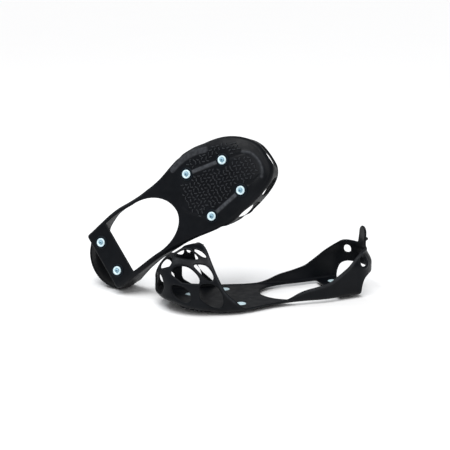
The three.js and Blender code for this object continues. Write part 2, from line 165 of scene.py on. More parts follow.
# ---- the boot's surface, which the rubber is stretched over -----------------------------------
def side_stations(side, toe_steps, mid_steps, heel_steps):
    """Points (x, y, axis) of the outline from the toe's tip along one side to the heel's back."""
    angle = np.linspace(0, math.pi / 2, toe_steps + 1)
    power = 2 / TOE_ROUNDNESS
    x = TOE_AXIS + (LENGTH - TOE_AXIS) * np.maximum(np.cos(angle), 0) ** power
    width = half_width(TOE_AXIS, side) - TOE_TAPER * (x - TOE_AXIS)
    y = side * width * np.sin(angle) ** power + TOE_SHIFT * np.cos(angle) ** 2
    toe = np.stack([x, y, np.full_like(x, TOE_AXIS)], 1)
    x = np.linspace(TOE_AXIS, HEEL_AXIS, mid_steps + 1)[1:-1]
    mid = np.stack([x, side * half_width(x, side), x], 1)
    angle = np.linspace(0, math.pi / 2, heel_steps + 1)
    x = HEEL_AXIS - (HEEL_AXIS - HEEL_BACK) * np.sin(angle)
    y = side * half_width(HEEL_AXIS, side) * np.cos(angle)
    heel = np.stack([x, y, np.full_like(x, HEEL_AXIS)], 1)
    return np.concatenate([toe, mid, heel])


def boot_surface(stations, levels, grow, drop):
    """Points of the surface on a grid of stations and levels: sole 0..1, wall 1..2, upper 2..3."""
    sx, sy, axis = (stations[:, i : i + 1] for i in range(3))
    level = levels[None, :]
    dx = sx - axis
    reach = np.hypot(dx, sy)
    ux, uy = dx / reach, sy / reach
    full = reach + grow
    turn = np.clip((level - 1) / (CORNER_LEVEL - 1), 0, 1) * math.pi / 2
    radius = np.clip(level, 0, 1) * (full - CORNER) + CORNER * np.sin(turn)
    upper = np.clip(level - 2, 0, 1) + 0 * radius
    toe = smooth(*TOE_BOX_START, axis)
    phi = upper * math.pi / 2
    instep = INSTEP_RISE * np.clip(TOE_AXIS - axis, 0, INSTEP_LENGTH)
    crown = CROWN + instep - WALL_TOP + grow
    heel_rise = np.minimum(1, upper / HEEL_SHOULDER) * (HEEL_TOP - WALL_TOP)
    lean = HEEL_LEAN * smooth(*LEAN_HEIGHTS, WALL_TOP + heel_rise)
    closing = np.where(upper > HEEL_SHOULDER, (1 - upper) / HEEL_CLOSE, 1)
    heel_radius = (full - lean) * closing
    toe_radius = full * np.maximum(np.cos(phi), 0) ** (2 / CROWN_ROUNDNESS)
    high = upper > 0
    radius = np.where(high, heel_radius * (1 - toe) + toe_radius * toe, radius)
    rise = heel_rise * (1 - toe) + crown * np.sin(phi) ** CROWN_POWER * toe
    x = axis + ux * radius
    curl = np.clip((level - FLAT_LEVEL) / (1 - FLAT_LEVEL), 0, 1) ** EDGE_CURL
    foot = -drop + CORNER * (1 - np.cos(turn)) + toe_spring(x) + edge_lift(x) * curl
    wall = np.clip((level - CORNER_LEVEL) / (2 - CORNER_LEVEL), 0, 1)
    z = np.where(high, WALL_TOP + rise, foot * (1 - wall) + WALL_TOP * wall)
    return np.stack([x, uy * radius, z], 2)


def surface_levels():
    sole = np.linspace(0, 1, round(SOLE_RUN / SOLE_STEP))
    corner = np.linspace(1, CORNER_LEVEL, CORNER_STEPS)[1:]
    wall = np.linspace(CORNER_LEVEL, 2, round(WALL_RUN / STEP))[1:]
    upper = np.linspace(2, 3, round(UPPER_RUN / STEP))[1:]
    return np.concatenate([sole, corner, wall, upper])


# ---- outlines ---------------------------------------------------------------------------------
def rounded(points, radius, steps=5):
    """A closed outline with its corners rounded by quadratic curves."""
    points = np.array(points, float)
    out = []
    for i, corner in enumerate(points):
        before, after = points[i - 1], points[(i + 1) % len(points)]
        cut_a = min(radius, np.linalg.norm(before - corner) / 2)
        cut_b = min(radius, np.linalg.norm(after - corner) / 2)
        start = corner + (before - corner) * cut_a / np.linalg.norm(before - corner)
        end = corner + (after - corner) * cut_b / np.linalg.norm(after - corner)
        for t in np.linspace(0, 1, steps):
            out.append((1 - t) ** 2 * start + 2 * t * (1 - t) * corner + t * t * end)
    return np.array(out)


def curve_through(points, steps=8):
    """A smooth open curve through points."""
    p = np.array(points, float)
    ends = np.concatenate([[2 * p[0] - p[1]], p, [2 * p[-1] - p[-2]]])
    out = []
    for i in range(1, len(ends) - 2):
        a, b, c, d = ends[i - 1 : i + 3]
        for t in np.linspace(0, 1, steps, endpoint=False):
            out.append(0.5 * (2 * b + (c - a) * t + (2 * a - 5 * b + 4 * c - d) * t * t
                              + (3 * b - a - 3 * c + d) * t ** 3))
    return np.array(out + [p[-1]])


def distance_to(points, u, v, closed):
    """Distance from each (u, v) to a polyline, and whether it lies inside the closed one."""
    best = np.full(u.shape, 1e9)
    inside = np.zeros(u.shape, bool)
    for i in range(len(points) if closed else len(points) - 1):
        (ax, ay), (bx, by) = points[i], points[(i + 1) % len(points)]
        ex, ey = bx - ax, by - ay
        t = np.clip(((u - ax) * ex + (v - ay) * ey) / max(ex * ex + ey * ey, 1e-12), 0, 1)
        best = np.minimum(best, (u - ax - t * ex) ** 2 + (v - ay - t * ey) ** 2)
        if closed and ay != by:
            inside ^= ((ay > v) != (by > v)) & (u < ax + (v - ay) * ex / (by - ay))
    return np.sqrt(best), inside


def from_line(line, u, v):
    """Distance to an open line."""
    return distance_to(line, u, v, False)[0]


def outside_of(points, u, v):
    """Signed distance to a closed outline, positive outside it."""
    distance, inside = distance_to(points, u, v, True)
    return np.where(inside, -distance, distance)


def both(a, b, round_by):
    """The smaller of two fields, with the corner between them rounded."""
    near = np.maximum(round_by - np.abs(a - b), 0) / round_by
    return np.minimum(a, b) - near * near * round_by / 4


def bump(x, centre, width):
    return np.exp(-((x - centre) / width) ** 2)


# ---- openings of the rubber -------------------------------------------------------------------
# low windows in the toe's wall, drawn as (distance round the toe from the window's middle, height)
NET_CENTRE = 3                 # and placed by how far round the toe they lie from this point
FRONT_WINDOW = [(-10, 15.5), (10, 15.5), (18.5, 24), (18.5, 34), (10, 42), (-10, 42),
                (-18.5, 34), (-18.5, 24)]
SIDE_WINDOW = [(-14.5, 35), (3, 35), (13.5, 26), (13.5, 13), (7, 12), (-8, 18), (-14.5, 25)]
BALL_WINDOW = [(-16, 39), (3, 39), (13, 28), (17, 13), (13.5, 4), (2, 5), (-16, 18)]
# outline, how far round the toe it lies, and its sides
LOW_WINDOWS = [(FRONT_WINDOW, 0, (1,)), (SIDE_WINDOW, 47.5, (1, -1)), (BALL_WINDOW, 89, (1, -1))]
LOW_WINDOWS_TO = 60
LOW_WINDOWS_BACK = 180
LOW_WINDOW_REACH = 40
# windows over the toes, in plan: x, distance from the middle of the net
NET_MIDDLE = -6
TOP_FRONT = [(297, 10), (301, 17), (306, 14.5), (310, 8), (310, -8), (306, -14.5), (301, -17),
             (297, -10)]
TOP_PAIRS = [
    [(304.5, 24), (298, 24.5), (284, 38), (270, 56), (279, 55), (292, 46), (302, 32)],
    [(278, 39), (259, 47.5), (251, 60), (262, 58), (271, 50)],
    [(292.5, 2.5), (279.5, 2.5), (273, 14), (266.5, 38), (277.5, 32), (287, 23), (292, 13)],
    [(268.5, 13), (262.5, 20.5), (258, 30), (256, 39), (262, 35.5), (266, 28), (268.8, 20)],
]
TOP_WINDOWS = [(TOP_FRONT, (1,))] + [(pair, (1, -1)) for pair in TOP_PAIRS]
TOP_WINDOWS_FROM = 39
TOP_WINDOWS_BACK = 235
TOP_LEVEL = 1.9                # levels that bound each kind of opening
SEAT_LEVEL = 1.2
EAR_LEVEL = 1.3
ARCH_LEVEL = 1.5
LAST_LEVEL = 2.985
WINDOW_ROUND = 6
# upper edge of the rubber in side view, from the top of the cup to the top of the net
NET_BACK = 251
UPPER_EDGE = [(-30, CUP_TOP), (4, CUP_TOP), (17, CUP_TOP), (24, 58.5), (30, 54.5), (37, 49.5),
              (50, 40.5), (62, 32.5), (70, 27.5), (80, 22), (98, 17.5), (120, 12.5), (138, 5),
              (WAIST, 1.6), (165, 0.6), (190, 0.6), (204, 0.8), (212, 1.3), (223, 12), (236, 25),
              (242.5, 36), (248, 50), (NET_BACK, 62), (252, 72), (NET_BACK, 84)]
ABOVE_EDGE = [(240, 200), (-60, 200), (-60, CUP_TOP)]
# open back of the heel under the cup, in side view
CUP_FOOT = [(27, -25), (26.6, -6), (26, 2), (24.6, 11), (21, 19.5), (14, 24), (6, 25), (-30, 25)]
BEHIND_FOOT = [(-60, 25), (-60, -25)]
CUP_LENGTH = 60
FOOT_BLEND = 5
ARCH_BLEND = 3
EAR_HOLE_AT = 328
EAR_HOLE = [(-5.5, 38.5), (5.5, 38.5), (5.5, 51.5), (-5.5, 51.5)]
EAR_ROUND = 5.5
EAR_REACH = 30


def arch_opening():
    """Plan outline of the opening under the arch."""
    start = OPENING_FRONT - OPENING_ROUND
    sides = []
    for side in (1, -1):
        x = np.linspace(BAND_FRONT, start, 8)
        y = side * (half_width(x, side) - OPENING_INSET)
        angle = np.linspace(0, math.pi / 2, 14)[1:]
        width = half_width(start, side) - OPENING_INSET
        x = np.concatenate([x, start + OPENING_ROUND * np.sin(angle)])
        y = np.concatenate([y, side * width * np.cos(angle)])
        sides.append(np.stack([x, y], 1))
    return np.concatenate([sides[0], sides[1][-2::-1]])


def away_from(outline, near, u, v):
    """Signed distance to an outline where it is near, and far off elsewhere."""
    away = np.full(near.shape, FAR)
    away[near] = outside_of(outline, u[near], v[near])
    return away


def rubber_fields(points, run, level):
    """Where there is rubber (positive), and the distance to the upper edge and the ear holes."""
    x, y, z = points[..., 0], points[..., 1], points[..., 2]
    region = np.concatenate([curve_through(UPPER_EDGE, 5), ABOVE_EDGE])
    upper = outside_of(region, x, z)
    upper = np.where(level > LAST_LEVEL, np.where(x > NET_BACK, FAR, -1), upper)
    foot_region = np.concatenate([curve_through(CUP_FOOT, 6), BEHIND_FOOT])
    foot = np.where(x < CUP_LENGTH, outside_of(foot_region, x, z), FAR)
    arch = np.where(level < ARCH_LEVEL, outside_of(arch_opening(), x, y), FAR)
    field = both(both(upper, foot, FOOT_BLEND), arch, ARCH_BLEND)
    for window, shift, sides in LOW_WINDOWS:
        outline = rounded(window, WINDOW_ROUND)
        for side in sides:
            across = side * (run - NET_CENTRE) - shift
            near = (z < LOW_WINDOWS_TO) & (np.abs(across) < LOW_WINDOW_REACH)
            near &= x > LOW_WINDOWS_BACK
            field = np.minimum(field, away_from(outline, near, across, z))
    near = (z > TOP_WINDOWS_FROM) & (x > TOP_WINDOWS_BACK) & (level > TOP_LEVEL)
    for window, sides in TOP_WINDOWS:
        outline = rounded(window, WINDOW_ROUND)
        for side in sides:
            field = np.minimum(field, away_from(outline, near, x, side * (y - NET_MIDDLE)))
    ear = np.full(x.shape, FAR)
    outline = rounded(EAR_HOLE, EAR_ROUND)
    for side in (1, -1):
        across = side * run - EAR_HOLE_AT
        near = (np.abs(across) < EAR_REACH) & (x < CUP_LENGTH) & (level > EAR_LEVEL)
        ear = np.minimum(ear, away_from(outline, near, across, z))
    field = np.minimum(field, ear)
    for row in STUDS:
        for side in (1, -1):
            cx, cy = stud_place(row, side)
            hole = np.where(level < SEAT_LEVEL, np.hypot(x - cx, y - cy) - SEAT_HOLE, FAR)
            field = np.minimum(field, hole)
    return field, upper, ear


# ---- cutting a triangle mesh along a level of a field -----------------------------------------
def split_at(points, data, faces, field, value, keep_low):
    """Cuts triangles where field crosses value. keep_low says whether the lower side stays."""
    f = field - value
    f = np.where(np.abs(f) < 1e-6, 1e-6, f)
    high = f > 0
    count = high[faces].sum(1)
    whole = faces[count == 3]
    mixed = faces[(count > 0) & (count < 3)]
    lone_high = high[mixed].sum(1) == 1
    lone = np.where(lone_high, np.argmax(high[mixed], 1), np.argmin(high[mixed], 1))
    order = (lone[:, None] + np.arange(3)) % 3
    turned = np.take_along_axis(mixed, order, 1)
    a, b, c = turned.T
    edges = np.sort(np.concatenate([np.stack([a, b], 1), np.stack([a, c], 1)]), 1)
    unique, inverse = np.unique(edges, axis=0, return_inverse=True)
    inverse = inverse.reshape(-1)
    fa, fb = f[unique[:, 0]], f[unique[:, 1]]
    t = (fa / (fa - fb))[:, None]
    new_points = points[unique[:, 0]] * (1 - t) + points[unique[:, 1]] * t
    new_data = data[unique[:, 0]] * (1 - t) + data[unique[:, 1]] * t
    new_field = np.full(len(unique), value, float)
    first = len(points)
    ab, ac = first + inverse[: len(a)], first + inverse[len(a) :]
    tips = np.stack([a, ab, ac], 1)
    quads = np.concatenate([np.stack([ab, b, c], 1), np.stack([ab, c, ac], 1)])
    quads_high = np.concatenate([~lone_high, ~lone_high])
    kept = [whole, tips[lone_high], quads[quads_high]]
    if keep_low:
        kept += [faces[count == 0], tips[~lone_high], quads[~quads_high]]
    points = np.concatenate([points, new_points])
    data = np.concatenate([data, new_data])
    field = np.concatenate([field, new_field])
    return points, data, np.concatenate(kept), field


def compact(points, data, faces, field, weld):
    """Welds points that lie together and drops unused ones and degenerate triangles."""
    key = np.round(points / weld).astype(np.int64)
    _, first, inverse = np.unique(key, axis=0, return_index=True, return_inverse=True)
    inverse = inverse.reshape(-1)
    faces = inverse[faces]
    a, b, c = faces.T
    faces = faces[(a != b) & (b != c) & (a != c)]
    used, new = np.unique(faces, return_inverse=True)
    faces = new.reshape(-1, 3)
    index = first[used]
    return points[index], data[index], faces, field[index]


def two_each(a, b, c, d):
    """Two triangles for each four corners."""
    halves = (a, b, c), (a, c, d)
    return np.concatenate([np.stack(half, 2).reshape(-1, 3) for half in halves])


def free_edges(faces):
    """Edges with one triangle, in that triangle's direction."""
    edges = np.concatenate([faces[:, [0, 1]], faces[:, [1, 2]], faces[:, [2, 0]]])
    ordered = np.sort(edges, 1)
    _, inverse, counts = np.unique(ordered, axis=0, return_inverse=True, return_counts=True)
    return edges[counts[inverse.reshape(-1)] == 1]


def point_normals(points, faces):
    a, b, c = (points[faces[:, i]] for i in range(3))
    face_normals = np.cross(b - a, c - a)
    normals = np.zeros_like(points)
    for i in range(3):
        np.add.at(normals, faces[:, i], face_normals)
    return normals / np.maximum(np.linalg.norm(normals, axis=1, keepdims=True), 1e-12)


def distance_from_edge(points, faces):
    """Distance of each point from the nearest free edge."""
    edges = free_edges(faces)
    start, end = points[edges[:, 0]], points[edges[:, 1]]
    steps = np.linspace(0, 1, 4, endpoint=False)
    samples = np.concatenate([start * (1 - t) + end * t for t in steps])
    tree = kdtree.KDTree(len(samples))
    for i, p in enumerate(samples):
        tree.insert(p, i)
    tree.balance()
    return np.array([tree.find(p)[2] for p in points])


def edge_rows(points, data, faces, rows, weld):
    """Adds rows of points along the free edge. Also gives each point's distance from that edge."""
    distance = distance_from_edge(points, faces)
    for value in rows:
        points, data, faces, distance = split_at(points, data, faces, distance, value, True)
    points, data, faces, distance = compact(points, data, faces, distance, weld)
    distance[np.unique(free_edges(faces))] = 0
    return points, data, faces, distance


def round_edge(distance, reach):
    """Share of the full thickness at a distance from the edge."""
    share = np.clip(distance / reach, 0, 1)
    return np.sqrt(1 - (1 - share) ** 2)


def close_sheet(outer, inner, faces, scuff_and_highlight):
    """A closed body from the two faces of a sheet, which meet at its free edge."""
    back = np.arange(len(outer)) + len(outer)
    edge = np.unique(free_edges(faces))
    back[edge] = edge
    used, new = np.unique(np.concatenate([faces, back[faces[:, ::-1]]]), return_inverse=True)
    return np.concatenate([outer, inner])[used], new.reshape(-1, 3), scuff_and_highlight[used]


# ---- the rubber overshoe ----------------------------------------------------------------------
def overshoe_sheet():
    """The middle surface of the rubber: points, (level, upper edge, ear) values, triangles."""
    toe_steps, heel_steps = round(TOE_RUN / STEP), round(HEEL_RUN / STEP)
    mid_steps = round((TOE_AXIS - HEEL_AXIS) / STEP)
    outer = side_stations(1, toe_steps, mid_steps, heel_steps)
    inner = side_stations(-1, toe_steps, mid_steps, heel_steps)
    runs = []
    for side, stations in ((1, outer), (-1, inner)):
        lengths = np.hypot(*np.diff(stations[:, :2], axis=0).T)
        runs.append(side * np.concatenate([[0], np.cumsum(lengths)]))
    ring = np.concatenate([outer, inner[-2:0:-1]])
    run = np.concatenate([runs[0], runs[1][-2:0:-1]])
    levels = surface_levels()
    grid = boot_surface(ring, levels, MID_WALL, MID_SOLE)
    run_grid = np.broadcast_to(run[:, None], grid.shape[:2])
    level_grid = np.broadcast_to(levels[None, :], grid.shape[:2])
    field, upper, ear = rubber_fields(grid, run_grid, level_grid)
    index = np.arange(field.size).reshape(field.shape)
    after = np.roll(index, -1, 0)
    faces = two_each(index[:, :-1], after[:, :-1], after[:, 1:], index[:, 1:])
    data = np.stack([level_grid, upper, ear], 2).reshape(-1, 3)
    points, field = grid.reshape(-1, 3), field.reshape(-1)
    points, data, faces, field = split_at(points, data, faces, field, 0.0, False)
    return compact(points, data, faces, field, SHEET_WELD)[:3]


# ---- tread under the forefoot -----------------------------------------------------------------
RIB_HALF = 2.4
RIB_FOOT, RIB_ROUND = 0.9, 0.7
RIB_SPAN = (0.17, 0.83)        # how far a rib runs from the middle stud to the front one
RIB_HEIGHT = 1.1
GROOVES = {1: [(271, 18), (282, 15.5), (293, 12)], -1: [(275, -29), (285, -28), (294, -26)]}
GROOVE_DEPTH, GROOVE_WIDTH = 1.0, 1.5
TOE_ARC = [(291, 15), (298, 9), (302, 0), (303, -12), (300, -22), (295, -29)]
# the toe arc's ridge is painted paler as a painted highlight
TOE_ARC_HEIGHT, TOE_ARC_WIDTH, TOE_ARC_HIGHLIGHT = 1.2, 1.7, 0.8
REAR_STEP = [(199, 31), (186, 18), (178, 6), (176, -2), (178, -10), (187, -22), (199, -35)]
REAR_STEP_HEIGHT, REAR_STEP_WIDTH = 0.5, 1.2
EDGE_BAND = [(192, 50.5), (204, 53.3), (220, 54), (236, 51.5), (248, 47)]
EDGE_BAND_FLANK = (4.6, 3.2)
# raised height of the edge band, and how much paler it is painted as painted sheen
EDGE_BAND_HEIGHT, EDGE_BAND_SHEEN = 0.6, 0.65
TREAD_SPAN = (170, 312)


def rib_line(side):
    mid, front = (np.array(stud_place(row, side)) for row in ("middle", "front"))
    return [mid + (front - mid) * share for share in RIB_SPAN]


def tread_relief(x, y):
    """Height of the moulded ribs and grooves under the sole, and how pale each spot is painted: the
    ribs for scuffs and painted highlight, the toe arc as painted highlight, the edge band as
    painted sheen.
    """
    relief, scuff_and_highlight = np.zeros_like(x), np.zeros_like(x)
    near = (x > TREAD_SPAN[0]) & (x < TREAD_SPAN[1])
    u, v = x[near], y[near]
    r, w = np.zeros_like(u), np.zeros_like(u)
    for side in (1, -1):
        rib = smooth(RIB_HALF + RIB_FOOT, RIB_HALF - RIB_ROUND, from_line(rib_line(side), u, v))
        # the ribs are painted paler: scuffs and painted highlight along the raised ridge
        r, w = r + RIB_HEIGHT * rib, np.maximum(w, rib)
        r = r - GROOVE_DEPTH * bump(from_line(GROOVES[side], u, v), 0, GROOVE_WIDTH)
    arc = bump(from_line(curve_through(TOE_ARC), u, v), 0, TOE_ARC_WIDTH)
    # painted highlight along the toe arc
    r, w = r + TOE_ARC_HEIGHT * arc, np.maximum(w, TOE_ARC_HIGHLIGHT * arc)
    step = bump(from_line(curve_through(REAR_STEP), u, v), 0, REAR_STEP_WIDTH)
    r = r + REAR_STEP_HEIGHT * step
    band = smooth(*EDGE_BAND_FLANK, from_line(curve_through(EDGE_BAND), u, v))
    # painted sheen along the edge band
    r, w = r + EDGE_BAND_HEIGHT * band, np.maximum(w, EDGE_BAND_SHEEN * band)
    relief[near], scuff_and_highlight[near] = r, w
    return relief, scuff_and_highlight


BEAD, BEAD_WIDTH = 0.6, 1.7    # the bead along the upper edge
# how much paler the rubber is painted along the bead, and over what width
BEAD_PALENESS, BEAD_PALENESS_WIDTH = 0.35, 1.5
EAR_RIM, EAR_RIM_WIDTH = 0.7, 1.9  # the thick rim of the ear holes
RIM_AT = 2.2                   # how far both lie from the edge
SOLE_TO_WALL = (0.9, 1.2)      # levels between which the rubber thins
TREAD_END = (1.02, 1.1)
BEAD_START = (1.15, 1.5)


def overshoe_mesh():
    points, data, faces, distance = edge_rows(*overshoe_sheet(), EDGE_ROWS, SHEET_WELD)
    normals = point_normals(points, faces)
    level, upper, ear = data.T
    half = WALL_HALF + (SOLE_HALF - WALL_HALF) * (1 - smooth(*SOLE_TO_WALL, level))
    profile = round_edge(distance, EDGE_ROUND)
    on_wall = smooth(*BEAD_START, level)
    bead = BEAD * bump(upper, RIM_AT, BEAD_WIDTH) * on_wall
    rim = EAR_RIM * bump(ear, RIM_AT, EAR_RIM_WIDTH)
    relief, scuff_and_highlight = tread_relief(points[:, 0], points[:, 1])
    under = 1 - smooth(*TREAD_END, level)
    relief, scuff_and_highlight = relief * under, scuff_and_highlight * under
    # paler along the bead by the upper edge
    scuff_and_highlight = np.maximum(scuff_and_highlight, BEAD_PALENESS * bump(upper, RIM_AT, BEAD_PALENESS_WIDTH) * on_wall)
    outer = points + normals * ((half + bead + rim + relief) * profile)[:, None]
    inner = points - normals * (half * profile)[:, None]
    return close_sheet(outer, inner, faces, np.concatenate([scuff_and_highlight, 0 * scuff_and_highlight]))


# ---- placing meshes ---------------------------------------------------------------------------
def placement(foot):
    """The cleat's own frame in the row frame, found from its two hinges."""
    joints = {j["name"]: j for j in frame["joints"]}
    waist, tab = joints[foot + "_waist_bend"], joints[foot + "_tab_pull"]
    outward = Vector(waist["axis"]).normalized()
    hand = 1 if foot == "left" else -1
    back, rise = WAIST - TAB_HINGE[0], TAB_HINGE[1] - WAIST_HEIGHT
    v = (Vector(tab["pos_m"]) - Vector(waist["pos_m"])) / MM
    u = hand * v.cross(outward)
    square = back * back + rise * rise
    forward = (-back * v - rise * u) / square
    up = (rise * v - back * u) / square
    origin = Vector(waist["pos_m"]) - (forward * WAIST + up * WAIST_HEIGHT) * MM
    columns = Matrix((forward, outward, up)).transposed() * MM
    return Matrix.Translation(origin) @ columns.to_4x4()


PLACES = {foot: placement(foot) for foot in FEET}
REST_HEIGHT = 0.05 * MM        # rubber that lies on the ground is pressed flat


def make_object(name, points, faces, place, material, values):
    """A smooth mesh from points in a cleat's frame, placed in the row frame, with point values."""
    matrix = np.array(place)
    world = np.asarray(points, float) @ matrix[:3, :3].T + matrix[:3, 3]
    world[:, 2] = np.maximum(world[:, 2], REST_HEIGHT)
    mesh = bpy.data.meshes.new(name)
    flip = np.linalg.det(matrix[:3, :3]) < 0
    turned = [list(f)[::-1] for f in faces] if flip else [list(f) for f in faces]
    mesh.from_pydata(world.tolist(), [], turned)
    mesh.validate()
    mesh.polygons.foreach_set("use_smooth", [True] * len(mesh.polygons))
    for key, value in values.items():
        layer = mesh.attributes.new(key, "FLOAT", "POINT")
        layer.data.foreach_set("value", np.asarray(value, np.float32))
    mesh.materials.append(material)
    piece = bpy.data.objects.new(name, mesh)
    bpy.context.scene.collection.objects.link(piece)
    return piece


def world_point(foot, x, y, z):
    return PLACES[foot] @ Vector((x, y, z))


# ---- materials --------------------------------------------------------------------------------
class Nodes:
    """A material's node tree, built a node at a time."""

    def __init__(self, name):
        self.material = bpy.data.materials.new(name)
        self.material.use_nodes = True
        self.tree = self.material.node_tree
        self.shader = self.tree.nodes["Principled BSDF"]
        self.place = self.add("ShaderNodeTexCoord").outputs["Object"]

    def add(self, kind, settings=None, **inputs):
        node = self.tree.nodes.new(kind)
        for key, value in (settings or {}).items():
            setattr(node, key, value)
        for key, value in inputs.items():
            self.put(node, key, value)
        return node

    def put(self, node, key, value):
        name = int(key[1:]) if key[0] == "_" else key.replace("_", " ")
        socket = node.inputs[name]
        if isinstance(value, bpy.types.NodeSocket):
            self.tree.links.new(value, socket)
        else:
            socket.default_value = value

    def noise(self, scale, detail=3.0, roughness=0.55):
        return self.add("ShaderNodeTexNoise", Vector=self.place, Scale=scale, Detail=detail,
                        Roughness=roughness).outputs["Fac"]

    def voronoi(self, scale):
        return self.add("ShaderNodeTexVoronoi", Vector=self.place, Scale=scale).outputs["Distance"]

    def ramp(self, value, low, high, start=0.0, end=1.0):
        return self.add("ShaderNodeMapRange", Value=value, From_Min=start, From_Max=end, To_Min=low,
                        To_Max=high).outputs["Result"]

    def math(self, operation, a, b):
        return self.add("ShaderNodeMath", {"operation": operation}, _0=a, _1=b).outputs[0]

    def mix(self, factor, a, b):
        """A mix of two colours. They are the sockets 6 and 7 of the node, and the result is 2."""
        return self.add("ShaderNodeMix", {"data_type": "RGBA"}, _0=factor, _6=a, _7=b).outputs[2]

    def attribute(self, name):
        return self.add("ShaderNodeAttribute", {"attribute_name": name}).outputs["Fac"]

    def bump(self, height, distance, strength, normal=None):
        node = self.add("ShaderNodeBump", Height=height, Distance=distance, Strength=strength)
        if normal is not None:
            self.put(node, "Normal", normal)
        return node.outputs["Normal"]

    def finish(self, **inputs):
        for key, value in inputs.items():
            self.put(self.shader, key, value)
        return self.material


MIDDLE = (0.35, 0.65)          # the parts of a noise's range that it mostly stays in
BROAD = (0.3, 0.7)
RUBBER_DARK, RUBBER_PALE = (0.0020, 0.0027, 0.0040, 1), (0.0038, 0.0048, 0.0066, 1)
# pale rubber for scuffs, used also as painted highlight and painted sheen on raised ridges and lug
# tops
RUBBER_SCUFF_AND_HIGHLIGHT = (0.06, 0.064, 0.072, 1)
# darker, bluer rubber of the stud rings: partly painted shade round each stud
SEAT_DARK, SEAT_PALE = (0.001, 0.003, 0.006, 1), (0.002, 0.005, 0.009, 1)
ZINC_DARK, ZINC_PALE = (0.55, 0.74, 0.81, 1), (0.68, 0.83, 0.88, 1)
CARBIDE_DARK, CARBIDE_PALE = (0.17, 0.32, 0.42, 1), (0.26, 0.43, 0.52, 1)
CARBIDE_WORN = (0.02, 0.05, 0.09, 1)
WORN_RADII = (0.7, 1.25)


def rubber_material():
    """Moulded rubber: cloudy black, fine grain, paler for scuffs and for painted highlight and
    painted sheen on raised ridges and lug tops.
    """
    n = Nodes("moulded_rubber")
    cloud = n.noise(28.0, 4.0)
    grain = n.noise(1500.0, 4.0, 0.6)
    pits = n.voronoi(900.0)
    scuff_and_highlight = n.attribute("scuff_and_highlight")
    base = n.mix(n.ramp(cloud, 0.0, 1.0, *MIDDLE), RUBBER_DARK, RUBBER_PALE)
    # paler for scuffs and for painted highlight and sheen, as the per-point attribute says
    scuff_and_highlight_mask = n.math("MULTIPLY", scuff_and_highlight, n.ramp(n.noise(260.0, 5.0), 0.4, 1.0, 0.3, 0.65))
    colour = n.mix(scuff_and_highlight_mask, base, RUBBER_SCUFF_AND_HIGHLIGHT)
    cloudy_gloss = n.ramp(n.noise(90.0, 3.0), 0.36, 0.5, *MIDDLE)
    rough = n.math("ADD", cloudy_gloss, n.ramp(scuff_and_highlight, 0.0, 0.12))
    fine = n.bump(grain, 0.00012, 0.55)
    normal = n.bump(pits, 0.0001, 0.25, fine)
    return n.finish(Base_Color=colour, Roughness=rough, Normal=normal, Specular_IOR_Level=0.12)


def seat_material():
    """Clean, near-black rubber of the rings round the studs, darker and bluer than the rest: partly
    its own glossy black, partly painted shade round each stud.
    """
    n = Nodes("seat_rubber")
    colour = n.mix(n.ramp(n.noise(400.0, 4.0), 0.0, 1.0, *MIDDLE), SEAT_DARK, SEAT_PALE)
    rough = n.ramp(n.noise(600.0, 3.0), 0.34, 0.5, *MIDDLE)
    normal = n.bump(n.noise(2200.0, 3.0), 0.00008, 0.4)
    return n.finish(Base_Color=colour, Roughness=rough, Normal=normal, Specular_IOR_Level=0.15)


def steel_material():
    """Turned, zinc-washed steel: rings from the lathe, and faint scratches."""
    n = Nodes("zinc_steel")
    turning = n.attribute("radius")
    rings = n.add("ShaderNodeTexNoise", {"noise_dimensions": "1D"}, W=turning, Scale=9.0,
                  Detail=4.0).outputs["Fac"]
    cloud = n.noise(500.0, 4.0)
    colour = n.mix(n.ramp(cloud, 0.0, 1.0, *BROAD), ZINC_DARK, ZINC_PALE)
    turned = n.ramp(rings, 0.26, 0.38, *BROAD)
    rough = n.math("ADD", turned, n.ramp(n.noise(1500.0, 4.0), 0.0, 0.1, *BROAD))
    normal = n.bump(rings, 0.00005, 0.35, n.bump(n.noise(3000.0, 3.0), 0.00003, 0.3))
    return n.finish(Base_Color=colour, Roughness=rough, Normal=normal, Metallic=0.2)


def carbide_material():
    """Ground carbide, darker on the small flat end."""
    n = Nodes("tungsten_carbide")
    grain = n.noise(4000.0, 5.0, 0.7)
    ground = n.mix(n.ramp(grain, 0.0, 1.0, *MIDDLE), CARBIDE_DARK, CARBIDE_PALE)
    worn = n.ramp(n.attribute("radius"), 1.0, 0.0, *WORN_RADII)
    colour = n.mix(worn, ground, CARBIDE_WORN)
    rough = n.ramp(n.noise(1800.0, 4.0), 0.3, 0.5, *MIDDLE)
    normal = n.bump(grain, 0.00006, 0.5)
    return n.finish(Base_Color=colour, Roughness=rough, Normal=normal, Metallic=0.15)


RUBBER = rubber_material()
SEAT = seat_material()
STEEL = steel_material()
CARBIDE = carbide_material()


# ---- studs ------------------------------------------------------------------------------------
def lathe(profile, segments, facets=None):
    """A closed body turned about Z. facets(radius, height, angle) may change a point's radius."""
    points, faces, radii = [], [], []
    for i in range(segments):
        angle = 2 * math.pi * i / segments
        for r, z in profile:
            r = facets(r, z, angle) if facets else r
            points.append((r * math.cos(angle), r * math.sin(angle), z))
            radii.append(r)
    rows = len(profile)
    for i in range(segments):
        k = (i + 1) % segments
        for j in range(rows):
            m = (j + 1) % rows
            faces.append((i * rows + j, k * rows + j, k * rows + m, i * rows + m))
    return points, faces, radii


def fillet(profile, radius, steps=4):
    """The closed profile with rounded corners."""
    return [tuple(p) for p in rounded(profile, radius, steps)]


